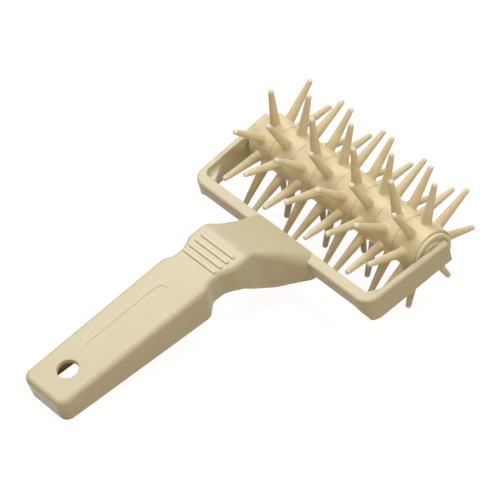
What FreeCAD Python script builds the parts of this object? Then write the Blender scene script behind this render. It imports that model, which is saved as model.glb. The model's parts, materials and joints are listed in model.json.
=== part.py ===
import FreeCAD, Part
import math
import os

import Sketcher

# Dough docker: a handle and yoke moulded in one, and a roller of spiked discs between the arms.
#
# Every piece is drawn in the tool's level frame: origin on the roller's axis, midway between
# the arms; +X from the left arm to the right arm, +Y from the handle to the roller, +Z up, square
# to the yoke's flat top. The finished pieces are then tipped together about X into the pose in
# which the tool lies on a table, on two rows of spikes and the end of its handle, with the
# origin at the bottom centre of its box. Lengths are in mm and angles in degrees.
DRIVING_SIZES = (
    # the yoke's arms and crossbar
    ("arm_outer", 64.8, "arm's outer face from the middle, at the roller's axis"),
    ("arm_splay", 2.55, "angle that each arm leans outwards"),
    ("arm_thick", 3.4, "thickness of an arm"),
    ("arm_end", 6.0, "arm's square end, beyond the axis"),
    ("yoke_top", 7.0, "flat top of arms and crossbar above the axis"),
    ("yoke_bottom", 7.7, "underside of the arms below the axis, at the crossbar"),
    ("arm_end_bottom", 5.8, "the same at an arm's end"),
    ("bar_inner", 39.1, "crossbar's inner face behind the axis"),
    ("bar_wide", 6.1, "width of the crossbar"),
    ("bar_under", 0.2, "crossbar's underside above the axis"),
    ("arch_half", 58.0, "half length of the arch under the crossbar, at its top"),
    ("arch_foot", 61.5, "half length of the arch, 1 mm below the arms"),
    ("arch_soft", 9.0, "radius of the arch's upper corners"),
    ("corner_outer", 8.0, "outer corner radius of the yoke"),
    ("corner_inner", 4.0, "inner corner radius of the yoke"),
    ("yoke_soft", 1.4, "rounding of the yoke's outer edges"),
    ("yoke_inner_soft", 0.5, "rounding of the yoke's inner top edges"),
    ("gusset_across", 6.4, "corner web's length along the crossbar"),
    ("gusset_along", 10.2, "corner web's length along the arm"),
    ("gusset_top", 4.0, "corner web's top above the axis"),
    ("gusset_thick", 2.5, "thickness of a corner web"),
    # the stub pins on the arms
    ("pin_radius", 3.2, "radius of a stub pin"),
    ("pin_tip", 55.0, "a pin's free end from the middle"),
    ("pin_root_radius", 4.8, "radius of the thrust shoulder at a pin's root"),
    ("pin_root", 60.0, "face of the thrust shoulder from the middle"),
    # the grip
    ("grip_top", 32.0, "flat top of the grip above the axis"),
    ("draft", 4.4, "lean of the side walls, inwards and down, from the grip's top"),
    ("end_back", 185.7, "grip's end behind the axis, at its top"),
    ("end_foot", 185.0, "grip's end behind the axis, at its lower edge"),
    ("end_under", 19.1, "underside of the grip at its end"),
    ("end_half", 14.7, "half the grip's width at its end"),
    ("end_corner", 5.5, "corner radius of the grip's end, seen from above"),
    ("end_soft", 1.0, "rounding of that lower edge"),
    ("heel_back", 98.6, "front end of the grip's underside"),
    ("heel_under", 12.2, "underside of the grip there"),
    ("finger_back", 94.6, "where the underside has risen over the finger"),
    ("waist_back", 97.3, "where the grip begins to narrow for the finger"),
    ("waist_back_half", 15.9, "half width there"),
    ("waist_mid_back", 92.6, "rear end of the narrow part"),
    ("waist_mid_front", 87.0, "front end of the narrow part"),
    ("waist_half", 13.3, "half width of the narrow part"),
    ("waist_soft", 4.0, "radius of the bends of the narrow part and the thumb rest"),
    ("finger_under", 17.1, "underside over the finger, rear"),
    ("finger_soft", 3.2, "radius of the bends of the underside behind the finger"),
    ("thumb_under", 16.4, "underside of the thumb rest"),
    ("thumb_under_back", 79.7, "where that underside turns down to the neck"),
    ("thumb_under_soft", 10.0, "radius of that turn"),
    ("thumb_back", 80.3, "rear end of the thumb rest"),
    ("thumb_front", 73.0, "front end of the thumb rest"),
    ("thumb_half", 16.5, "half width of the thumb rest"),
    ("grip_soft", 2.2, "rounding of the grip's top edges"),
    ("wall", 2.3, "wall thickness of the grip and the neck"),
    # the neck
    ("crease", 70.0, "where the grip's top turns down into the neck"),
    ("crease_soft", 5.0, "radius of that turn"),
    ("neck_back", 66.0, "narrowest place of the neck behind the axis"),
    ("neck_half", 15.2, "half width there"),
    ("neck_bend", 8.0, "radius of the neck's bends, seen from above"),
    ("flare_back", 55.5, "where the neck begins to flare"),
    ("flare_half", 17.7, "half width there"),
    ("foot_back", 45.0, "where the neck has flared out over the crossbar"),
    ("foot_half", 22.8, "half width there"),
    ("foot_soft", 5.5, "rounding of the neck's top edges at the crossbar"),
    ("neck_foot", 61.5, "where the neck's underside levels out"),
    ("neck_under", 3.0, "underside of the neck there, below the axis"),
    ("neck_under_soft", 30.0, "radius of that bend"),
    ("foot_under", 7.3, "underside of the neck at the crossbar, below the axis"),
    # the hanging hole, the thumb ribs and the plain panel
    ("hang_back", 169.0, "centre of the hanging hole behind the axis"),
    ("hang_radius", 5.2, "radius of the hanging hole"),
    ("hang_soft", 0.5, "rounding of its rim"),
    ("rib_first", 75.9, "foremost thumb rib behind the axis"),
    ("rib_pitch", 3.85, "distance from rib to rib"),
    ("rib_count", 4, "thumb ribs"),
    ("rib_long", 23.2, "length of a rib"),
    ("rib_wide", 2.0, "width of a rib"),
    ("rib_high", 0.75, "height of a rib"),
    ("panel_back", 155.5, "rear end of the sunk panel"),
    ("panel_front", 107.5, "front end of the sunk panel"),
    ("panel_wide", 9.0, "width of the sunk panel"),
    ("panel_deep", 0.2, "depth of the sunk panel"),
    # the spiked discs
    ("disc_count", 8, "discs on the roller"),
    ("disc_pitch", 14.6, "distance from disc to disc"),
    ("disc_wide", 14.5, "width of a disc's rim"),
    ("rim_radius", 12.4, "outer radius of a disc's rim"),
    ("rim_inner", 10.2, "inner radius of the rim"),
    ("seat_radius", 11.5, "radius of the seat sunk in both sides"),
    ("seat_deep", 1.6, "depth of the seat"),
    ("web_thick", 2.6, "thickness of the web between hub and rim"),
    ("hub_radius", 7.7, "radius of the hub round the square hole"),
    ("hard_bevel", 0.45, "bevel of the rim's open edge"),
    ("soft_bevel", 0.2, "bevel of the rim's closed edge"),
    ("spike_count", 8, "spikes on a disc"),
    ("spike_reach", 35.0, "spike's tip from the axis"),
    ("spike_root", 2.6, "spike's radius where it leaves the rim"),
    ("spike_tip", 1.3, "spike's radius at its tip"),
    ("spike_blend", 0.7, "fillet where a spike meets the rim"),
    ("hole_side", 8.8, "side of the square hole"),
    ("key_offset", 11.25, "spike's angle from the square's side"),
    # the square bar and the end caps
    ("bar_side", 8.3, "side of the square bar"),
    ("bar_rest", 67.4, "angle of the square bar at rest, from +Y towards +Z"),
    ("cap_rim_radius", 11.1, "outer radius of a cap's raised ring"),
    ("cap_dish_radius", 9.3, "radius of the dish inside the ring"),
    ("cap_hub_radius", 5.6, "radius of the cap's hub"),
    ("cap_proud", 1.5, "how far the ring stands out of the disc"),
    ("cap_hub_proud", 1.2, "how far the cap's hub stands out"),
    ("cap_dish", 0.2, "how far the dish's floor lies inside the disc's face"),
    ("cap_back", 1.5, "how far the cap's flange reaches in"),
    ("cap_spigot", 5.0, "how far the cap's square spigot reaches in"),
    ("cap_bore", 3.25, "radius of the bore for the stub pin"),
    ("cap_bore_deep", 4.0, "how far the bore reaches in"),
    ("cap_bore_gap", 0.2, "play between a cap's spigot and the square bar"),
)

# The discs sit a little loose on the square bar. Each leans from its place by this much at rest.
DISC_LEAN = (-1.2, 2.1, -1.7, 0.4, -1.6, 1.8, 3.0, 1.5)


class Size:
    """A length or angle together with the sheet expression that it comes from."""

    def __init__(self, value, text):
        self.value = value
        self.text = text

    def __float__(self):
        return float(self.value)

    def __add__(self, other):
        other = size(other)
        return Size(self.value + other.value, f"({self.text} + {other.text})")

    def __sub__(self, other):
        other = size(other)
        return Size(self.value - other.value, f"({self.text} - {other.text})")

    def __mul__(self, other):
        other = size(other)
        return Size(self.value * other.value, f"({self.text} * {other.text})")

    def __truediv__(self, other):
        other = size(other)
        return Size(self.value / other.value, f"({self.text} / {other.text})")

    def __neg__(self):
        return Size(-self.value, f"(-{self.text})")

    def __radd__(self, other):
        return size(other) + self

    def __rsub__(self, other):
        return size(other) - self

    def __rmul__(self, other):
        return size(other) * self


def size(number):
    return number if isinstance(number, Size) else Size(number, repr(number))


def slope_of(angle):
    """Tangent of an angle in degrees."""
    return Size(math.tan(math.radians(angle.value)), f"tan({angle.text})")


def root_of(number):
    return Size(math.sqrt(number.value), f"sqrt({number.text})")


doc = FreeCAD.newDocument("dough_docker")
sheet = doc.addObject("Spreadsheet::Sheet", "Sizes")
D = {}


def drive(name, value, meaning):
    """Put one driving dimension in the sheet."""
    row = len(D) + 2
    sheet.set(f"A{row}", name)
    sheet.set(f"B{row}", str(value))
    sheet.set(f"C{row}", meaning)
    sheet.setAlias(f"B{row}", name)
    D[name] = Size(value, f"Sizes.{name}")


sheet.set("A1", "dimension")
sheet.set("B1", "value")
sheet.set("C1", "meaning")
for name, value, meaning in DRIVING_SIZES:
    drive(name, value, meaning)
for number, lean in enumerate(DISC_LEAN, start=1):
    drive(f"lean_{number}", lean, "how far the disc leans from its place on the bar")
doc.recompute()


def bind(thing, prop, wanted):
    """Set a property and tie it to the sheet."""
    setattr(thing, prop, float(wanted))
    thing.setExpression(prop, size(wanted).text)


def own_origin(body, role):
    return [item for item in body.Origin.OriginFeatures if item.Role == role][0]


def new_body(name):
    body = doc.addObject("PartDesign::Body", name)
    body.Label = name
    return body


def flat_sketch(body, name, role, height=None):
    """An empty sketch on one of the body's own planes, or at a height above it."""
    sketch = body.newObject("Sketcher::SketchObject", name)
    sketch.AttachmentSupport = [(own_origin(body, role), "")]
    sketch.MapMode = "FlatFace"
    if height is not None:
        sketch.AttachmentOffset = FreeCAD.Placement(
            FreeCAD.Vector(0, 0, float(height)), FreeCAD.Rotation())
        sketch.setExpression("AttachmentOffset.Base.z", size(height).text)
    return sketch


def pin_down(sketch, geometry, point, across, up):
    """Fix a point of the sketch at a place given by two sizes."""
    for kind, wanted, axis in (("DistanceX", across, -2), ("DistanceY", up, -1)):
        wanted = size(wanted)
        if wanted.value == 0:
            sketch.addConstraint(Sketcher.Constraint("PointOnObject", geometry, point, axis))
        elif wanted.value > 0:
            index = sketch.addConstraint(
                Sketcher.Constraint(kind, -1, 1, geometry, point, wanted.value))
            sketch.setExpression(f"Constraints[{index}]", wanted.text)
        else:
            index = sketch.addConstraint(
                Sketcher.Constraint(kind, geometry, point, -1, 1, -wanted.value))
            sketch.setExpression(f"Constraints[{index}]", (-wanted).text)


def outline(sketch, corners):
    """Draw a closed outline through corners (across, up, rounding or None)."""
    spots = [FreeCAD.Vector(float(c[0]), float(c[1]), 0) for c in corners]
    count = len(spots)
    starts, ends, arcs = [], [], []
    for i, spot in enumerate(spots):
        rounding = corners[i][2]
        to_last = (spots[i - 1] - spot).normalize()
        to_next = (spots[(i + 1) % count] - spot).normalize()
        if rounding is None:
            ends.append(spot)
            starts.append(spot)
            arcs.append(None)
            continue
        radius = float(rounding)
        half_angle = to_last.getAngle(to_next) / 2
        setback = radius / math.tan(half_angle)
        middle = (to_last + to_next).normalize() * (radius / math.sin(half_angle))
        ends.append(spot + to_last * setback)
        starts.append(spot + to_next * setback)
        arcs.append((spot + middle, radius, to_last.cross(to_next).z < 0))
    lines = []
    for i in range(count):
        line = Part.LineSegment(starts[i], ends[(i + 1) % count])
        lines.append(sketch.addGeometry(line, False))
    for i, arc in enumerate(arcs):
        incoming, outgoing = lines[i - 1], lines[i]
        if arc is None:
            sketch.addConstraint(Sketcher.Constraint("Coincident", incoming, 2, outgoing, 1))
            pin_down(sketch, outgoing, 1, corners[i][0], corners[i][1])
            continue
        centre, radius, left_turn = arc
        first, last = (ends[i], starts[i]) if left_turn else (starts[i], ends[i])
        begin = math.atan2(first.y - centre.y, first.x - centre.x)
        stop = math.atan2(last.y - centre.y, last.x - centre.x)
        if stop < begin:
            stop += 2 * math.pi
        circle = Part.Circle(centre, FreeCAD.Vector(0, 0, 1), radius)
        bend = sketch.addGeometry(Part.ArcOfCircle(circle, begin, stop), False)
        near, far = (1, 2) if left_turn else (2, 1)
        sketch.addConstraint(Sketcher.Constraint("Tangent", incoming, 2, bend, near))
        sketch.addConstraint(Sketcher.Constraint("Tangent", bend, far, outgoing, 1))
        index = sketch.addConstraint(Sketcher.Constraint("Radius", bend, radius))
        sketch.setExpression(f"Constraints[{index}]", size(corners[i][2]).text)
        corner = sketch.addGeometry(Part.Point(spots[i]), True)
        sketch.addConstraint(Sketcher.Constraint("PointOnObject", corner, 1, incoming))
        sketch.addConstraint(Sketcher.Constraint("PointOnObject", corner, 1, outgoing))
        pin_down(sketch, corner, 1, corners[i][0], corners[i][1])


def circle_at(sketch, across, up, radius):
    spot = FreeCAD.Vector(float(across), float(up), 0)
    ring = sketch.addGeometry(Part.Circle(spot, FreeCAD.Vector(0, 0, 1), float(radius)), False)
    index = sketch.addConstraint(Sketcher.Constraint("Radius", ring, float(radius)))
    sketch.setExpression(f"Constraints[{index}]", size(radius).text)
    pin_down(sketch, ring, 3, across, up)


def mirrored(right_side):
    """Complete the corners of a right half with their mirror images."""
    left_side = [(-size(x), y, rounding) for x, y, rounding in reversed(right_side)]
    return right_side + left_side


def block(body, name, sketch, low, high):
    """Pad a sketch from low to high, counted along its plane's normal."""
    pad = body.newObject("PartDesign::Pad", name)
    pad.Profile = sketch
    pad.SideType = "Two sides"
    bind(pad, "Length", high)
    bind(pad, "Length2", -size(low))
    return pad


def through(body, name, sketch):
    """Cut a sketch right through the body, both ways."""
    cut = body.newObject("PartDesign::Pocket", name)
    cut.Profile = sketch
    cut.SideType = "Symmetric"
    cut.Type = "ThroughAll"
    return cut


def turned(body, name, sketch, axis):
    spin = body.newObject("PartDesign::Revolution", name)
    spin.Profile = sketch
    spin.ReferenceAxis = (sketch, [axis])
    spin.Angle = 360
    return spin


def mirror_over(body, name, features, role):
    copy = body.newObject("PartDesign::Mirrored", name)
    copy.Originals = features
    copy.MirrorPlane = (own_origin(body, role), [""])
    body.Tip = copy
    return copy


def edges_where(feature, wanted):
    """Names of the feature's edges whose two ends and middle all pass a test."""
    names = []
    for number, edge in enumerate(feature.Shape.Edges, start=1):
        middle = edge.valueAt((edge.FirstParameter + edge.LastParameter) / 2)
        spots = [vertex.Point for vertex in edge.Vertexes] + [middle]
        if all(wanted(spot) for spot in spots):
            names.append(f"Edge{number}")
    return names


def soften(body, name, feature, names, radius):
    fillet = body.newObject("PartDesign::Fillet", name)
    fillet.Base = (feature, names)
    bind(fillet, "Radius", radius)
    body.Tip = fillet
    return fillet


def near(value, wanted):
    return abs(value - float(wanted)) < 0.01


# ---------------------------------------------------------------- the yoke
# A flat U of even height. Its arms lean outwards a little and its outer edges are rounded. The
# crossbar is only half as high as the arms and curves down into them, and a flat web fills
# each inner corner. A stub pin stands inwards on each arm, with a shoulder at its root.
def arm_face(behind, inward=0):
    """Distance from the middle to an arm's face, at a distance behind the axis."""
    return D["arm_outer"] - slope_of(D["arm_splay"]) * behind - inward


def arm_underside(behind):
    """Height of the arms' underside, at a distance behind the axis."""
    back, front = float(D["bar_inner"]), -float(D["arm_end"]) - 1
    share = min((back - behind) / (back - front), 1)
    low, high = -float(D["yoke_bottom"]), -float(D["arm_end_bottom"])
    return low + max(share, 0) * (high - low)


def on_yoke_outside(spot):
    outer_half = float(arm_face(-spot.y))
    return abs(spot.x) > outer_half - 1 or spot.y < -float(D["bar_inner"]) - 1


def make_yoke():
    body = new_body("yoke_solid")
    back = D["bar_inner"] + D["bar_wide"]
    inner_half = arm_face(D["bar_inner"], D["arm_thick"])

    plan = flat_sketch(body, "yoke_plan", "XY_Plane")
    outline(plan, mirrored([
        (arm_face(back), -back, D["corner_outer"]),
        (arm_face(-D["arm_end"]), D["arm_end"], None),
        (arm_face(-D["arm_end"], D["arm_thick"]), D["arm_end"], None),
        (inner_half, -D["bar_inner"], D["corner_inner"]),
    ]))
    whole = block(body, "yoke_pad", plan, -D["yoke_bottom"], D["yoke_top"])
    slant = flat_sketch(body, "arm_slant", "YZ_Plane")
    outline(slant, [
        (-D["bar_inner"], -D["yoke_bottom"] - 1, None),
        (D["arm_end"] + 1, -D["yoke_bottom"] - 1, None),
        (D["arm_end"] + 1, -D["arm_end_bottom"], None),
        (-D["bar_inner"], -D["yoke_bottom"], None),
    ])
    frame = through(body, "arm_slant_cut", slant)
    doc.recompute()
    assert frame.Shape.Volume < whole.Shape.Volume - 100, "the arms' underside wasn't slanted"
    outer_edges = edges_where(frame, lambda p: on_yoke_outside(p) and (
        near(p.z, D["yoke_top"]) or p.z < 0 and near(p.z, arm_underside(-p.y))))
    outer_soft = soften(body, "yoke_outer_soft", frame, outer_edges, D["yoke_soft"])
    doc.recompute()
    inner_edges = edges_where(outer_soft, lambda p: not on_yoke_outside(p)
                              and near(p.z, D["yoke_top"]))
    inner_soft = soften(body, "yoke_inner_soft", outer_soft, inner_edges, D["yoke_inner_soft"])
    doc.recompute()

    # the arch under the crossbar, cut from its roller side towards the grip
    deep = D["yoke_bottom"] + 1
    arch = flat_sketch(body, "arch_side", "XZ_Plane", D["bar_inner"] - D["corner_inner"])
    outline(arch, mirrored([
        (D["arch_foot"], -deep, None),
        (D["arch_half"], D["bar_under"], D["arch_soft"]),
    ]))
    hollow = body.newObject("PartDesign::Pocket", "arch_cut")
    hollow.Profile = arch
    hollow.Reversed = True
    bind(hollow, "Length", D["bar_wide"] + D["corner_inner"] + 1)
    doc.recompute()
    assert hollow.Shape.Volume < inner_soft.Shape.Volume - 1000, "the arch cut nothing"

    web = flat_sketch(body, "web_plan", "XY_Plane", D["gusset_top"])
    sink = D["arm_thick"] / 2
    outline(web, [
        (inner_half - D["gusset_across"], -D["bar_inner"] - sink, None),
        (inner_half + sink, -D["bar_inner"] - sink, None),
        (inner_half + sink, -D["bar_inner"] + D["gusset_along"], None),
        (inner_half, -D["bar_inner"] + D["gusset_along"], None),
        (inner_half - D["gusset_across"], -D["bar_inner"], None),
    ])
    right_web = block(body, "corner_web", web, -D["gusset_thick"], 0)
    mirror_over(body, "corner_webs", [right_web], "YZ_Plane")

    side = flat_sketch(body, "pin_profile", "XY_Plane")
    buried = arm_face(0, D["arm_thick"] / 2)
    bevel = D["pin_radius"] / 6
    outline(side, [
        (D["pin_tip"], 0, None),
        (buried, 0, None),
        (buried, D["pin_root_radius"], None),
        (D["pin_root"], D["pin_root_radius"], None),
        (D["pin_root"], D["pin_radius"], None),
        (D["pin_tip"] + bevel, D["pin_radius"], None),
        (D["pin_tip"], D["pin_radius"] - bevel, None),
    ])
    right_pin = turned(body, "stub_pin", side, "H_Axis")
    mirror_over(body, "stub_pins", [right_pin], "YZ_Plane")
    doc.recompute()
    return body


# ------------------------------------------------- the grip, the thumb rest and the neck
# One open-bottomed channel. Its outside is what a side outline and a plan outline have in
# common, with the top edges rounded; its inside is the same two outlines drawn a wall's
# thickness inwards and open below.
def neck_slope():
    return (D["grip_top"] - D["yoke_top"]) / (D["crease"] - D["bar_inner"])


def drawn_in(behind):
    """How much the draft has narrowed a wall at the handle's top surface there."""
    drop = neck_slope() * (D["crease"] - behind)
    return slope_of(D["draft"]) * drop if drop.value > 0 else size(0)


def grip_plan(inset):
    """Right half of the plan outline, moved inwards: narrower still at the crossbar.

    It reaches a little past the handle at both ends, where the side outline ends the handle.
    It is drawn at the height of the grip's top, so down the neck the draft is added to it.
    """
    neck = D["neck_half"] + drawn_in(D["neck_back"]) - inset
    flare = D["flare_half"] + drawn_in(D["flare_back"]) - inset
    foot = D["foot_half"] + drawn_in(D["foot_back"]) - inset * 1.8
    return [
        (D["end_half"] - inset, -D["end_back"] - 0.2 + inset, D["end_corner"] - inset),
        (D["waist_back_half"] - inset, -D["waist_back"], D["waist_soft"]),
        (D["waist_half"] - inset, -D["waist_mid_back"], D["waist_soft"]),
        (D["waist_half"] - inset, -D["waist_mid_front"], D["waist_soft"]),
        (D["thumb_half"] - inset, -D["thumb_back"], D["waist_soft"]),
        (D["thumb_half"] - inset, -D["thumb_front"], D["waist_soft"]),
        (neck, -D["neck_back"], D["neck_bend"]),
        (flare, -D["flare_back"], D["neck_bend"]),
        (foot, -D["foot_back"], D["neck_bend"]),
        (foot, -D["bar_inner"] + 2, None),
    ]


def channel(name, side_corners, plan_corners):
    """What a side outline pulled across the handle has in common with a drafted plan outline."""
    profile = new_body(f"{name}_profile")
    side = flat_sketch(profile, f"{name}_side", "YZ_Plane")
    outline(side, side_corners)
    half = D["foot_half"] + 5
    block(profile, f"{name}_pad", side, -half, half)

    trim = new_body(f"{name}_trim")
    plan = flat_sketch(trim, f"{name}_plan", "XY_Plane", D["grip_top"])
    outline(plan, mirrored(plan_corners))
    drop = trim.newObject("PartDesign::Pad", f"{name}_drop")
    drop.Profile = plan
    drop.Reversed = True
    bind(drop, "Length", D["grip_top"] + D["yoke_bottom"] + 1)
    bind(drop, "TaperAngle", -D["draft"])
    doc.recompute()
    straight = plan.Shape.BoundBox.XLength / 2
    lowest = [edge.BoundBox.XMax for edge in drop.Shape.Edges
              if near(edge.BoundBox.ZMax, -D["yoke_bottom"] - 1)]
    assert max(lowest) < straight, f"{name} widens downwards"

    shared = doc.addObject("Part::MultiCommon", name)
    shared.Shapes = [profile, trim]
    doc.recompute()
    return shared


def top_rounding(behind):
    """Radius of the top edge's rounding: even on the grip, growing down the neck."""
    start, end = float(D["neck_back"]), float(D["bar_inner"])
    share = min(max((start - behind) / (start - end), 0), 1)
    return float(D["grip_soft"]) + share * (float(D["foot_soft"]) - float(D["grip_soft"]))


def on_top(spot):
    """Whether a spot lies on the flat top of the grip or on the slope of the neck."""
    behind = -spot.y
    slope_top = float(D["yoke_top"]) + float(neck_slope()) * (behind - float(D["bar_inner"]))
    turn_room = float(D["crease_soft"]) * 0.1
    return abs(spot.z - min(slope_top, float(D["grip_top"]))) < turn_room


def make_handle_frame(yoke):
    slope = neck_slope()
    outside = channel("grip_solid", [
        (-D["end_back"], D["grip_top"], None),
        (-D["end_foot"], D["end_under"], D["end_soft"]),
        (-D["heel_back"], D["heel_under"], D["finger_soft"]),
        (-D["finger_back"], D["finger_under"], D["finger_soft"]),
        (-D["thumb_under_back"], D["thumb_under"], D["thumb_under_soft"]),
        (-D["neck_foot"], -D["neck_under"], D["neck_under_soft"]),
        (-D["bar_inner"], -D["foot_under"], None),
        (-D["bar_inner"], D["yoke_top"], None),
        (-D["crease"], D["grip_top"], D["crease_soft"]),
    ], grip_plan(size(0)))

    # the rounding of the top edges: two radii for each edge, in the direction it runs
    rounded = doc.addObject("Part::Fillet", "rounded_grip")
    rounded.Base = outside
    radii = []
    for number, edge in enumerate(outside.Shape.Edges, start=1):
        middle = edge.valueAt((edge.FirstParameter + edge.LastParameter) / 2)
        first, last = edge.firstVertex(True).Point, edge.lastVertex(True).Point
        crosses = abs(first.x + last.x) < 0.1 and middle.y > -float(D["end_foot"])
        if on_top(middle) and on_top(first) and on_top(last) and not crosses:
            radii.append((number, top_rounding(-first.y), top_rounding(-last.y)))
    rounded.Edges = radii
    doc.recompute()

    # the hollow under the top wall, as far as the crossbar
    lean = root_of(slope * slope + 1) * D["wall"]
    inner_top = D["grip_top"] - D["wall"]
    bar_middle = D["bar_inner"] + D["bar_wide"] / 2
    over_bar = D["yoke_top"] + slope * D["bar_wide"] / 2 - lean
    turn = D["bar_inner"] + (inner_top - D["yoke_top"] + lean) / slope
    depth = -D["yoke_bottom"] * 2
    hollow = channel("grip_hollow", [
        (-D["end_back"] + D["wall"], inner_top, None),
        (-D["end_back"] + D["wall"], depth, None),
        (-bar_middle, depth, None),
        (-bar_middle, over_bar, None),
        (-turn, inner_top, D["crease_soft"]),
    ], grip_plan(D["wall"]))
    shell = doc.addObject("Part::Cut", "grip_shell")
    shell.Base = rounded
    shell.Tool = hollow

    whole = doc.addObject("Part::MultiFuse", "frame_solid")
    whole.Shapes = [shell, yoke, make_ribs()]
    whole.Refine = True
    tools = doc.addObject("Part::MultiFuse", "frame_tools")
    tools.Shapes = [make_hang_tool(), make_panel_tool()]
    frame = doc.addObject("Part::Cut", "handle_frame")
    frame.Base = whole
    frame.Tool = tools
    frame.Label = "handle_frame"
    doc.recompute()
    return frame


def make_ribs():
    """The thumb ribs: low bars with round ends across the grip."""
    body = new_body("thumb_ribs")
    sketch = flat_sketch(body, "rib_plan", "XY_Plane", D["grip_top"])
    half_long, half_wide = D["rib_long"] / 2, D["rib_wide"] / 2
    round_end = half_wide * 0.98
    outline(sketch, [
        (-half_long, -D["rib_first"] - half_wide, round_end),
        (half_long, -D["rib_first"] - half_wide, round_end),
        (half_long, -D["rib_first"] + half_wide, round_end),
        (-half_long, -D["rib_first"] + half_wide, round_end),
    ])
    rib = block(body, "rib", sketch, -D["wall"] / 2, D["rib_high"])
    row = body.newObject("PartDesign::LinearPattern", "rib_row")
    row.Originals = [rib]
    row.Direction = (own_origin(body, "Y_Axis"), [""])
    row.Reversed = True
    bind(row, "Length", D["rib_pitch"] * (D["rib_count"] - 1))
    row.Occurrences = int(D["rib_count"].value)
    row.setExpression("Occurrences", D["rib_count"].text)
    body.Tip = row
    doc.recompute()
    tops = edges_where(row, lambda p: near(p.z, D["grip_top"] + D["rib_high"]))
    soften(body, "rib_soft", row, tops, D["rib_high"] * 0.6)
    doc.recompute()
    return body


def make_hang_tool():
    """What the hanging hole takes away, with the rounding of its rim."""
    body = new_body("hang_tool")
    profile = flat_sketch(body, "hang_profile", "YZ_Plane")
    middle = -D["hang_back"]
    low, high = D["grip_top"] - D["wall"] * 2, D["grip_top"] + D["wall"]
    rim = D["hang_soft"]
    outline(profile, [
        (middle, low, None),
        (middle + D["hang_radius"], low, None),
        (middle + D["hang_radius"], D["grip_top"], rim),
        (middle + D["hang_radius"] + rim * 1.5, D["grip_top"], None),
        (middle + D["hang_radius"] + rim * 1.5, high, None),
        (middle, high, None),
    ])
    axis = profile.addGeometry(Part.LineSegment(
        FreeCAD.Vector(float(middle), float(low), 0),
        FreeCAD.Vector(float(middle), float(high), 0)), True)
    pin_down(profile, axis, 1, middle, low)
    pin_down(profile, axis, 2, middle, high)
    turned(body, "hang_cut", profile, "Axis0")
    doc.recompute()
    return body


def make_panel_tool():
    """What the shallow plain panel on top of the grip takes away."""
    body = new_body("panel_tool")
    sketch = flat_sketch(body, "panel_plan", "XY_Plane", D["grip_top"])
    half = D["panel_wide"] / 2
    outline(sketch, [
        (-half, -D["panel_back"], half * 0.4),
        (half, -D["panel_back"], half * 0.4),
        (half, -D["panel_front"], half * 0.98),
        (-half, -D["panel_front"], half * 0.98),
    ])
    block(body, "panel_block", sketch, -D["panel_deep"], D["wall"])
    doc.recompute()
    return body


# ------------------------------------------------------------------ the spiked discs
# Eight equal mouldings. A rim and a hub are joined by a thin web, both sides have a sunk seat,
# and the rim's two edges are bevelled unequally. Eight tapered spikes stand on the rim. The
# square hole lies askew to them, so a disc that is turned over offsets its spikes.
def polar(radius, angle):
    along = Size(math.cos(math.radians(angle.value)), f"cos({angle.text})")
    up = Size(math.sin(math.radians(angle.value)), f"sin({angle.text})")
    return radius * along, radius * up


def square(sketch, side, turn):
    """A square outline centred on the sketch's origin and turned by an angle."""
    reach = side / math.sqrt(2)
    outline(sketch, [(*polar(reach, turn + 45 + 90 * i), None) for i in range(4)])


def make_disc(number):
    body = new_body(f"spiked_disc_{number}")
    half = D["disc_wide"] / 2
    floor = half - D["seat_deep"]
    web = D["web_thick"] / 2
    rim = D["rim_radius"]
    profile = flat_sketch(body, f"disc_profile_{number}", "XY_Plane")
    outline(profile, [
        (-floor, 0, None), (floor, 0, None),
        (floor, D["hub_radius"], None), (web, D["hub_radius"], None),
        (web, D["rim_inner"], None), (floor, D["rim_inner"], None),
        (floor, D["seat_radius"], None), (half, D["seat_radius"], None),
        (half, rim - D["hard_bevel"], None), (half - D["hard_bevel"], rim, None),
        (-half + D["soft_bevel"], rim, None), (-half, rim - D["soft_bevel"], None),
        (-half, D["seat_radius"], None), (-floor, D["seat_radius"], None),
        (-floor, D["rim_inner"], None), (-web, D["rim_inner"], None),
        (-web, D["hub_radius"], None), (-floor, D["hub_radius"], None),
    ])
    turned(body, f"disc_ring_{number}", profile, "H_Axis")

    spike = flat_sketch(body, f"spike_profile_{number}", "XY_Plane")
    root = (D["rim_inner"] + rim) / 2
    outline(spike, [
        (0, root, None),
        (D["spike_root"], root, None),
        (D["spike_tip"], D["spike_reach"], D["spike_tip"] * 0.94),
        (0, D["spike_reach"], None),
    ])
    first = turned(body, f"spike_{number}", spike, "V_Axis")
    crown = body.newObject("PartDesign::PolarPattern", f"spikes_{number}")
    crown.Originals = [first]
    crown.Axis = (own_origin(body, "X_Axis"), [""])
    crown.Angle = 360
    crown.Occurrences = int(D["spike_count"].value)
    crown.setExpression("Occurrences", D["spike_count"].text)
    body.Tip = crown
    doc.recompute()
    roots = edges_where(crown, lambda p: near(math.hypot(p.y, p.z), rim)
                        and abs(p.x) < float(half) / 2)
    soft = soften(body, f"spike_blends_{number}", crown, roots, D["spike_blend"])

    hole = flat_sketch(body, f"square_hole_{number}", "YZ_Plane")
    square(hole, D["hole_side"], D["key_offset"])
    bore = through(body, f"disc_bore_{number}", hole)
    doc.recompute()
    assert bore.Shape.Volume < soft.Shape.Volume - 500, "the square hole cut nothing"
    return body


# ------------------------------------------------------------ the square bar and the caps
# The bar keys the discs to each other. A cap closes each end: its flange lies in the last
# disc's seat, its square spigot goes into that disc's square hole, and it turns on a stub pin.
def make_core_bar():
    body = new_body("core_bar")
    sketch = flat_sketch(body, "bar_section", "YZ_Plane")
    square(sketch, D["bar_side"], size(0))
    reach = D["disc_count"] * D["disc_pitch"] / 2 - D["cap_spigot"] - D["cap_bore_gap"]
    block(body, "bar_pad", sketch, -reach, reach)
    doc.recompute()
    return body


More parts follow.
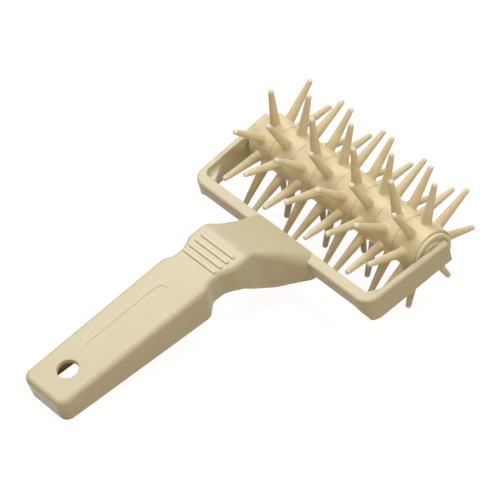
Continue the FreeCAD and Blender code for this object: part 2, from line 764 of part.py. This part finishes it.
def make_end_cap(name):
    body = new_body(name)
    profile = flat_sketch(body, f"{name}_profile", "XY_Plane")
    soft = D["cap_proud"] / 4
    outline(profile, [
        (-D["cap_back"], 0, None),
        (D["cap_hub_proud"], 0, None),
        (D["cap_hub_proud"], D["cap_hub_radius"], soft),
        (-D["cap_dish"], D["cap_hub_radius"], soft),
        (-D["cap_dish"], D["cap_dish_radius"], soft),
        (D["cap_proud"], D["cap_dish_radius"], soft),
        (D["cap_proud"], D["cap_rim_radius"], soft),
        (-D["cap_back"], D["cap_rim_radius"], None),
    ])
    turned(body, f"{name}_dish", profile, "H_Axis")
    spigot = flat_sketch(body, f"{name}_spigot", "YZ_Plane")
    square(spigot, D["bar_side"], size(0))
    block(body, f"{name}_key", spigot, -D["cap_spigot"], -D["cap_dish"] * 2)
    bore = flat_sketch(body, f"{name}_bore", "YZ_Plane", D["cap_hub_proud"])
    circle_at(bore, 0, 0, D["cap_bore"])
    hole = body.newObject("PartDesign::Pocket", f"{name}_hole")
    hole.Profile = bore
    bind(hole, "Length", D["cap_hub_proud"] + D["cap_bore_deep"])
    doc.recompute()
    assert hole.Shape.Volume < body.Group[-3].Shape.Volume, "the cap's bore cut nothing"
    return body


# ------------------------------------------------------------------ the pose at rest
# The tool lies on its lowest spikes and on the lower edge of the grip's end. The square bar
# stands so that two rows of spikes, one each side of the lowest line, share the weight.
def disc_angle(number):
    """Angle of a disc's first spike at rest, from +Y towards +Z."""
    offset = float(D["key_offset"]) * (1 if number % 2 == 0 else -1)
    return float(D["bar_rest"]) + offset + float(D[f"lean_{number}"])


def spike_angles():
    step = 360 / int(D["spike_count"].value)
    for number in range(1, int(D["disc_count"].value) + 1):
        for k in range(int(D["spike_count"].value)):
            yield math.radians(disc_angle(number) + step * k)


def rounding_centre(before, corner, after, rounding):
    """Centre of the rounding of a corner, each given as (across, up)."""
    spots = [FreeCAD.Vector(float(across), float(up), 0) for across, up in (before, corner, after)]
    to_last = (spots[0] - spots[1]).normalize()
    to_next = (spots[2] - spots[1]).normalize()
    half_angle = to_last.getAngle(to_next) / 2
    return spots[1] + (to_last + to_next).normalize() * (float(rounding) / math.sin(half_angle))


def rest_pose():
    """Tilt of the handle, and the place of the roller's axis, in the part's own frame."""
    top, foot = (-D["end_back"], D["grip_top"]), (-D["end_foot"], D["end_under"])
    foot_soft, top_soft = float(D["end_soft"]), float(D["grip_soft"])
    foot_spot = rounding_centre(top, foot, (-D["heel_back"], D["heel_under"]), foot_soft)
    top_spot = rounding_centre((-D["crease"], D["grip_top"]), top, foot, top_soft)
    tip = float(D["spike_tip"])
    arm = float(D["spike_reach"]) - tip
    height = max(-math.sin(angle) for angle in spike_angles()) * arm + tip
    tilt = math.atan2(foot_spot.y, -foot_spot.x) + math.asin((height - foot_soft) / foot_spot.Length)
    front = max(math.cos(angle) for angle in spike_angles()) * arm + tip
    back = -top_spot.x * math.cos(tilt) + top_spot.y * math.sin(tilt) + top_soft
    return math.degrees(tilt), FreeCAD.Vector(0, (back - front) / 2, height)


def put(piece, axis_spot, across, angle, turned_over=False):
    turn = FreeCAD.Rotation(FreeCAD.Vector(1, 0, 0), angle)
    if turned_over:
        turn = turn.multiply(FreeCAD.Rotation(FreeCAD.Vector(0, 1, 0), 180))
    piece.Placement = FreeCAD.Placement(axis_spot + FreeCAD.Vector(across, 0, 0), turn)


tilt, axis_spot = rest_pose()
pieces = [make_handle_frame(make_yoke())]
put(pieces[0], axis_spot, 0, tilt)

disc_count = int(D["disc_count"].value)
for number in range(1, disc_count + 1):
    disc = make_disc(number)
    across = (number - (disc_count + 1) / 2) * float(D["disc_pitch"])
    put(disc, axis_spot, across, disc_angle(number), turned_over=number % 2 == 0)
    pieces.append(disc)

core_bar = make_core_bar()
put(core_bar, axis_spot, 0, float(D["bar_rest"]))
pieces.append(core_bar)

face = (disc_count - 1) / 2 * float(D["disc_pitch"]) + float(D["disc_wide"]) / 2
for name, across, turned_over in (("end_cap_right", face, False), ("end_cap_left", -face, True)):
    cap = make_end_cap(name)
    put(cap, axis_spot, across, float(D["bar_rest"]), turned_over)
    pieces.append(cap)

doc.recompute()
for thing in doc.Objects:
    state = [word for word in thing.State if word in ("Invalid", "Error")]
    assert not state, f"{thing.Label}: {state}"
for piece in pieces:
    shape = piece.Shape
    assert not shape.isNull() and shape.isValid(), f"{piece.Label} is not a valid solid"
    assert len(shape.Solids) == 1, f"{piece.Label} has {len(shape.Solids)} solids"

print(f"tilt {tilt:.3f} axis at y {axis_spot.y:.3f} z {axis_spot.z:.3f}")
os.makedirs("parts", exist_ok=True)
for piece in pieces:
    box = piece.Shape.BoundBox
    print(f"{piece.Label:16s} {piece.Shape.Volume:10.1f} mm3   x {box.XMin:7.2f} {box.XMax:7.2f}"
          f"   y {box.YMin:7.2f} {box.YMax:7.2f}   z {box.ZMin:7.2f} {box.ZMax:7.2f}")
    piece.Shape.exportStep(f"parts/{piece.Label}.step")
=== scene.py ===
"""A dough docker of cream plastic: a handle with a U-shaped yoke, and a roller of spiked discs.

The solids come from the frame and stand as they are. This script gives each its finish, then
sets up the floor, the light and the camera.
"""
import json
import math

import bpy
from mathutils import Matrix, Vector
from mathutils.bvhtree import BVHTree


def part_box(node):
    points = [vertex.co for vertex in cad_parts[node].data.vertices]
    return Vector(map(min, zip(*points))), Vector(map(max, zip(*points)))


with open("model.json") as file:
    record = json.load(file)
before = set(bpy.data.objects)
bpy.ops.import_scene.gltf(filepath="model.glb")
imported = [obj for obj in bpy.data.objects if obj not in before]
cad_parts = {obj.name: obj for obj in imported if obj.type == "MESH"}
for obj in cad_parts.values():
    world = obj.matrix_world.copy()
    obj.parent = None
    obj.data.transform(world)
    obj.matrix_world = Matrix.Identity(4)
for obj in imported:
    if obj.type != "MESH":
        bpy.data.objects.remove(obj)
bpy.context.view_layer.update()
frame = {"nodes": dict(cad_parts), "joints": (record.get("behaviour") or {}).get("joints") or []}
nodes = frame["nodes"]
MM = 0.001

# ---------------------------------------------------------------- the handle and its yoke
# Grip, thumb rest, neck, crossbar and arms are one injection moulding in cream plastic. Its
# skin is satin, with a very fine orange-peel grain and faint flow marks that run from the
# gate in the grip's end. The thumb ribs carry painted highlight: their tops are painted paler,
# and their low walls paler still, painted light over the shade along their foot.
FRAME_CREAM = (0.610, 0.556, 0.385, 1.0)
FRAME_DEEP = (0.590, 0.529, 0.350, 1.0)
FRAME_ROUGHNESS = 0.28
ROUGHNESS_SPREAD = 0.10
CLOUD_SIZE = 28 * MM
CLOUD_DETAIL = 3.0
CLOUD_SHARE = 0.6
FLOW_WIDTH = 9 * MM
FLOW_LENGTH = 60 * MM
FLOW_HEIGHT = 0.02 * MM
MOTTLE_EDGES = (0.2, 0.8)
HANDLE_TILT = math.radians(16.655)
GRIP_TOP = 32.0 * MM
RIB_FOOT_EDGES = (GRIP_TOP + 0.03 * MM, GRIP_TOP + 0.12 * MM)
RIB_TOP_EDGES = (GRIP_TOP + 0.54 * MM, GRIP_TOP + 0.69 * MM)
# Painted light on the thumb ribs: a paler top as painted highlight, a paler foot over its shade.
RIB_TOP_PAINTED_HIGHLIGHT = (0.640, 0.595, 0.425, 1.0)
RIB_FOOT_PAINTED_LIGHT = (0.740, 0.670, 0.470, 1.0)

PLASTIC_IOR = 1.49
PLASTIC_SHINE = 0.18
PEEL_SIZE = 0.9 * MM
PEEL_HEIGHT = 0.010 * MM
GRAIN_SIZE = 0.25 * MM
GRAIN_HEIGHT = 0.004 * MM
SCATTER_SHARE = 0.12
SCATTER_REACH = (1.0, 0.7, 0.4)
SCATTER_DEPTH = 1.6 * MM


class Field:
    """A socket of a material. Arithmetic on it adds Math nodes; node() adds any other node."""

    def __init__(self, tree, socket=None):
        self.tree = tree
        self.socket = socket

    def node(self, kind, settings=None, values=None, out=0):
        made = self.tree.nodes.new(kind)
        for name, value in (settings or {}).items():
            setattr(made, name, value)
        for name, value in (values or {}).items():
            if isinstance(value, Field):
                self.tree.links.new(value.socket, made.inputs[name])
            else:
                made.inputs[name].default_value = value
        return Field(self.tree, made.outputs[out] if made.outputs else None)

    def math(self, operation, *values):
        numbered = dict(enumerate((self,) + values))
        return self.node("ShaderNodeMath", {"operation": operation}, numbered)

    def __add__(self, other):
        return self.math("ADD", other)

    def __sub__(self, other):
        return self.math("SUBTRACT", other)

    def __mul__(self, other):
        return self.math("MULTIPLY", other)

    def __truediv__(self, other):
        return self.math("DIVIDE", other)

    def __rsub__(self, other):
        return (self * -1) + other

    __radd__ = __add__
    __rmul__ = __mul__

    def vector(self, operation, other):
        return self.node("ShaderNodeVectorMath", {"operation": operation}, {0: self, 1: other})

    def place_in_part(self):
        """Where each point of the surface lies, in metres from the part's origin."""
        return self.node("ShaderNodeTexCoord", out=3)

    def split(self, axis):
        """One number of this vector: 0 for X, 1 for Y, 2 for Z."""
        return self.node("ShaderNodeSeparateXYZ", None, {"Vector": self}, axis)

    def ramp(self, low, high):
        """0 below low and 1 above high, with a smooth rise between them; falls if low > high."""
        if low > high:
            return 1 - self.ramp(high, low)
        values = {"Value": self, "From Min": low, "From Max": high}
        return self.node("ShaderNodeMapRange", {"interpolation_type": "SMOOTHSTEP"}, values)

    def noise(self, size, detail=2.0, stretch=(1, 1, 1)):
        """Noise over this vector, its blotches of a size in metres, drawn out along an axis."""
        scaled = self.vector("MULTIPLY", tuple(1 / (size * s) for s in stretch))
        values = {"Vector": scaled, "Scale": 1.0, "Detail": detail}
        return scaled.node("ShaderNodeTexNoise", None, values)

    def tint(self, colour, other):
        """The colour where this mask is 0 and the other colour where it is 1."""
        return self.node("ShaderNodeMix", {"data_type": "RGBA"}, {0: self, 6: colour, 7: other}, 2)

    def finish(self):
        """Makes this shader the surface of its material."""
        self.node("ShaderNodeOutputMaterial", None, {"Surface": self})


def new_material(name):
    """An empty material and a field to start its nodes from."""
    material = bpy.data.materials.new(name)
    material.use_nodes = True
    tree = material.node_tree
    tree.nodes.clear()
    return material, Field(tree)


def plastic_skin(start, place, colour, roughness, relief, shine=PLASTIC_SHINE):
    """The skin of a moulded piece: a plastic shader with peel and grain under its relief."""
    peel = place.noise(PEEL_SIZE) * PEEL_HEIGHT
    grain = place.noise(GRAIN_SIZE, 1.0) * GRAIN_HEIGHT
    normal = start.node("ShaderNodeBump", None,
                        {"Strength": 1.0, "Distance": 1.0, "Height": peel + grain + relief})
    return start.node("ShaderNodeBsdfPrincipled", None, {
        "Base Color": colour, "Roughness": roughness, "Normal": normal, "IOR": PLASTIC_IOR,
        "Specular IOR Level": shine, "Subsurface Weight": SCATTER_SHARE,
        "Subsurface Radius": SCATTER_REACH, "Subsurface Scale": SCATTER_DEPTH})


def dress(node, *materials):
    """Fills the material slots of a piece."""
    mesh = nodes[node].data
    mesh.materials.clear()
    for material in materials:
        mesh.materials.append(material)


frame_plastic, start = new_material("frame_plastic")
place = start.place_in_part()
clouds = place.noise(CLOUD_SIZE, CLOUD_DETAIL)
flow = place.noise(FLOW_WIDTH, stretch=(1, FLOW_LENGTH / FLOW_WIDTH, 1))
mottle = (clouds * CLOUD_SHARE + flow * (1 - CLOUD_SHARE)).ramp(*MOTTLE_EDGES)
spin_centre = tuple(frame["joints"][0]["pos_m"])
from_axis = place.vector("SUBTRACT", spin_centre)
in_handle = from_axis.node("ShaderNodeVectorRotate", {"rotation_type": "X_AXIS"},
                           {"Vector": from_axis, "Angle": -HANDLE_TILT})
above = in_handle.split(2)
# Painted highlight on the rib tops and painted light on the rib feet, by height above the grip.
rib_painted_light = above.ramp(*RIB_TOP_EDGES).tint(RIB_FOOT_PAINTED_LIGHT, RIB_TOP_PAINTED_HIGHLIGHT)
colour = above.ramp(*RIB_FOOT_EDGES).tint(mottle.tint(FRAME_CREAM, FRAME_DEEP), rib_painted_light)
roughness = clouds * ROUGHNESS_SPREAD + (FRAME_ROUGHNESS - ROUGHNESS_SPREAD / 2)
plastic_skin(start, place, colour, roughness, flow * FLOW_HEIGHT).finish()

# The inside of the grip and neck is the same plastic, left matt. Hardly any light gets in
# there but what comes through the walls, so its colour is a brown painted shade. A face belongs
# to it if it has a wall close by to the left, another to the right and one over it.
HOLLOW_PAINTED_SHADE = (0.580, 0.400, 0.190, 1.0)
HOLLOW_ROUGHNESS = 0.60
HOLLOW_SHINE = 0.08
HOLLOW_WAVE = 0.05 * MM
HOLLOW_REACH = 32 * MM
HOLLOW_HALF = 17.5 * MM
OFF_SKIN = 0.5 * MM

hollow_painted_shade, start = new_material("hollow_painted_shade")
place = start.place_in_part()
# Painted shade: the inside faces get the brown in place of the shade that falls there.
plastic_skin(start, place, HOLLOW_PAINTED_SHADE, HOLLOW_ROUGHNESS,
             place.noise(CLOUD_SIZE) * HOLLOW_WAVE, HOLLOW_SHINE).finish()
dress("handle_frame", frame_plastic, hollow_painted_shade)
mesh = nodes["handle_frame"].data
walls = BVHTree.FromPolygons([v.co for v in mesh.vertices], [f.vertices for f in mesh.polygons])
handle_up = Vector((0, -math.sin(HANDLE_TILT), math.cos(HANDLE_TILT)))
ways = (Vector((1, 0, 0)), Vector((-1, 0, 0)), handle_up)
for face in mesh.polygons:
    ahead = face.center + face.normal * OFF_SKIN
    covered = all(walls.ray_cast(ahead, way, HOLLOW_REACH)[0] is not None for way in ways)
    face.material_index = int(covered and abs(ahead.x) < HOLLOW_HALF)

# ---------------------------------------------------------------- the spiked discs
# Eight equal mouldings of the same plastic, their spike roots painted darker as painted shade,
# their tips painted paler, with a near-white spot at the very end, as painted highlight. The
# mould closed on the middle of each disc and left a fine raised line along both sides of every
# spike, painted paler as a painted highlight.
DISC_CREAM = (0.770, 0.672, 0.450, 1.0)
# The deep tone serves both the plastic's random mottle and the painted shade at the spike roots.
DISC_DEEP_AND_ROOT_SHADE = (0.690, 0.572, 0.335, 1.0)
# Painted highlight: paler spike tips, and a near-white painted glint at their very end.
TIP_PAINTED_HIGHLIGHT = (0.800, 0.730, 0.520, 1.0)
TIP_END_PAINTED_GLINT = (0.950, 0.920, 0.830, 1.0)
# Painted highlight along the real raised parting line of each spike.
LINE_PAINTED_HIGHLIGHT = (0.860, 0.790, 0.620, 1.0)
DISC_ROUGHNESS = 0.33
DISC_COUNT = 8
DISC_PITCH = 14.6 * MM
RIM_RADIUS = 12.4 * MM
DISC_CLOUD_SIZE = 14 * MM
CLOUD_EDGES = (0.35, 0.65)
SPIKE_START = 0.3 * MM
SPIKE_CLEAR = 1.5 * MM
ROOT_LENGTH = 9 * MM
TIP_LENGTH = 7 * MM
END_LENGTH = 1.8 * MM
END_CLEAR = 0.2 * MM
LINE_HALF_WIDTH = 0.32 * MM
LINE_CREST = 0.4
LINE_HEIGHT = 0.16 * MM
low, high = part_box("spiked_disc_2")
TIP_RADIUS = high.z - spin_centre[2]  # 0.4 mm short, as its uppermost spike isn't quite upright

disc_plastic, start = new_material("disc_plastic")
place = start.place_in_part()
from_axis = place.vector("SUBTRACT", spin_centre)
across, behind, above = (from_axis.split(axis) for axis in range(3))
radius = (behind * behind + above * above).math("SQRT")
on_spike = radius.ramp(RIM_RADIUS + SPIKE_START, RIM_RADIUS + SPIKE_CLEAR)
from_middle = ((across / DISC_PITCH).math("FRACT") - 0.5).math("ABSOLUTE") * DISC_PITCH
line = from_middle.ramp(LINE_HALF_WIDTH, LINE_HALF_WIDTH * LINE_CREST) * on_spike
root_painted_shade = radius.ramp(RIM_RADIUS + ROOT_LENGTH, RIM_RADIUS) * on_spike
tip_highlight = radius.ramp(TIP_RADIUS - TIP_LENGTH, TIP_RADIUS)
tip_glint = radius.ramp(TIP_RADIUS - END_LENGTH, TIP_RADIUS - END_CLEAR)
clouds = place.noise(DISC_CLOUD_SIZE, CLOUD_DETAIL)
colour = DISC_CREAM
# The clouds are the plastic's own mottle; root is painted shade, tips, end spot and line painted
# highlight.
for mask, strength, other in (
        (clouds.ramp(*CLOUD_EDGES), 0.5, DISC_DEEP_AND_ROOT_SHADE),
        (root_painted_shade, 0.8, DISC_DEEP_AND_ROOT_SHADE),
        (tip_highlight, 0.5, TIP_PAINTED_HIGHLIGHT),
        (tip_glint, 0.7, TIP_END_PAINTED_GLINT),
        (line, 0.7, LINE_PAINTED_HIGHLIGHT)):
    colour = (mask * strength).tint(colour, other)
roughness = clouds * ROUGHNESS_SPREAD + (DISC_ROUGHNESS - ROUGHNESS_SPREAD / 2)
plastic_skin(start, place, colour, roughness, line * LINE_HEIGHT).finish()
for number in range(1, DISC_COUNT + 1):
    dress(f"spiked_disc_{number}", disc_plastic)

# ---------------------------------------------------------------- the square bar and the caps
# The bar runs hidden through the discs and keys them together. The caps close both ends of the
# roller with a raised ring and a dish, and turn on the yoke's stub pins.
# Both cap colours are painted paler than the discs' plastic: painted light over the shade in the
# caps' dish. The hidden bar shares them.
CAP_CREAM_PAINTED_LIGHT = (0.930, 0.840, 0.600, 1.0)
CAP_DEEP_PAINTED_LIGHT = (0.890, 0.780, 0.520, 1.0)
CAP_ROUGHNESS = 0.38
BAR_ROUGHNESS = 0.48
CAP_CLOUD_SIZE = 11.2 * MM
RING_SIZE = 1.2 * MM
RING_STRETCH = (8, 1, 1)
RING_HEIGHT = 0.01 * MM
for name, pieces, middle in (("cap_plastic", ("end_cap_left", "end_cap_right"), CAP_ROUGHNESS),
                             ("bar_plastic", ("core_bar",), BAR_ROUGHNESS)):
    material, start = new_material(name)
    place = start.place_in_part()
    clouds = place.noise(CAP_CLOUD_SIZE, CLOUD_DETAIL)
    colour = clouds.ramp(*CLOUD_EDGES).tint(CAP_CREAM_PAINTED_LIGHT, CAP_DEEP_PAINTED_LIGHT)
    roughness = clouds * ROUGHNESS_SPREAD + (middle - ROUGHNESS_SPREAD / 2)
    rings = place.noise(RING_SIZE, 1.0, RING_STRETCH)
    plastic_skin(start, place, colour, roughness, rings * RING_HEIGHT).finish()
    for piece in pieces:
        dress(piece, material)

# ---------------------------------------------------------------- the floor and the backdrop
# A wide pale sheet that the tool lies on. It looks white where the camera sees it, with a
# faint shadow left in, and it throws a little warm light back up.
FLOOR_HALF = 4.0
FLOOR_PALE = (0.50, 0.43, 0.33, 1.0)
WHITE = (1.0, 1.0, 1.0, 1.0)
SHADOW_SHARE = 0.30
FLOOR_GLOW = 1.34


def seen_directly(start):
    """1 for rays from the camera, a mirror or clear plastic, and 0 for plain light."""
    rays = {name: start.node("ShaderNodeLightPath", out=name)
            for name in ("Is Camera Ray", "Is Glossy Ray", "Is Transmission Ray")}
    return (rays["Is Camera Ray"] + rays["Is Glossy Ray"]
            + rays["Is Transmission Ray"]).math("MINIMUM", 1.0)


floor_mesh = bpy.data.meshes.new("floor")
corners = [(x * FLOOR_HALF, y * FLOOR_HALF, 0) for x, y in ((-1, -1), (1, -1), (1, 1), (-1, 1))]
floor_mesh.from_pydata(corners, [], [(0, 1, 2, 3)])
floor = bpy.data.objects.new("floor", floor_mesh)
bpy.context.scene.collection.objects.link(floor)
floor_sheet, start = new_material("floor_sheet")
paper = start.node("ShaderNodeBsdfDiffuse", None, {"Color": FLOOR_PALE})
glow = start.node("ShaderNodeEmission", None, {"Color": WHITE, "Strength": FLOOR_GLOW})
share = seen_directly(start) * (1 - SHADOW_SHARE)
start.node("ShaderNodeMixShader", None, {0: share, 1: paper, 2: glow}).finish()
floor_mesh.materials.append(floor_sheet)

# ---------------------------------------------------------------- the light
# A large soft box hangs straight over the tool and another to its left. A small bright lamp to
# the right puts the shine on the edges, a weak warm soft box in front opens up the shaded
# sides, and the room fills the rest.
ROOM_COLOUR = (1.0, 0.89, 0.75, 1.0)
ROOM_LIGHT = 0.26
WARM = (1.0, 0.82, 0.58, 1.0)
LAMPS = (  # name, place, side in metres, power in watts, colour
    ("top_soft_box", Vector((0.05, 0.05, 1.40)), 0.9, 5.9, WHITE),
    ("left_soft_box", Vector((-1.00, 0.10, 1.30)), 0.6, 11.2, WHITE),
    ("bright_core", Vector((0.63, 0.096, 1.246)), 0.22, 3.8, WHITE),
    ("front_soft_box", Vector((0.97, -0.82, 0.59)), 0.8, 3.3, WARM))

world = bpy.data.worlds.new("room")
bpy.context.scene.world = world
world.use_nodes = True
world.node_tree.nodes.clear()
start = Field(world.node_tree)
fill = start.node("ShaderNodeBackground", None, {"Color": ROOM_COLOUR, "Strength": ROOM_LIGHT})
backdrop = start.node("ShaderNodeBackground", None, {"Color": WHITE, "Strength": 1.0})
room = start.node("ShaderNodeMixShader", None, {0: seen_directly(start), 1: fill, 2: backdrop})
start.node("ShaderNodeOutputWorld", None, {"Surface": room})

for name, place, side, power, colour in LAMPS:
    lamp = bpy.data.lights.new(name, "AREA")
    lamp.color = colour[:3]
    lamp.size = side
    lamp.energy = power
    soft_box = bpy.data.objects.new(name, lamp)
    soft_box.location = place
    soft_box.rotation_mode = "QUATERNION"
    soft_box.rotation_quaternion = (-place).to_track_quat("-Z", "Y")
    bpy.context.scene.collection.objects.link(soft_box)

# ---------------------------------------------------------------- the camera
# It stands well back with a long lens, in front of the tool's right-hand side, and is held a
# little askew.
CAMERA_TARGET = Vector((0.0, 14.13, 31.03)) * MM
CAMERA_AZIMUTH = math.radians(47.80)
CAMERA_ELEVATION = math.radians(38.82)
CAMERA_ROLL = math.radians(2.13)
CAMERA_DISTANCE = 1.7604
CAMERA_LENS = 270.9
SENSOR_WIDTH = 36.0

lens = bpy.data.cameras.new("camera")
lens.lens = CAMERA_LENS
lens.sensor_width = SENSOR_WIDTH
back = Vector((math.sin(CAMERA_AZIMUTH) * math.cos(CAMERA_ELEVATION),
               -math.cos(CAMERA_AZIMUTH) * math.cos(CAMERA_ELEVATION),
               math.sin(CAMERA_ELEVATION)))
camera = bpy.data.objects.new("camera", lens)
camera.rotation_mode = "QUATERNION"
camera.location = CAMERA_TARGET + back * CAMERA_DISTANCE
level = (-back).to_track_quat("-Z", "Y")
camera.rotation_quaternion = level @ Matrix.Rotation(CAMERA_ROLL, 3, "Z").to_quaternion()
bpy.context.scene.collection.objects.link(camera)
bpy.context.scene.camera = camera
bpy.context.scene.view_settings.view_transform = "Standard"
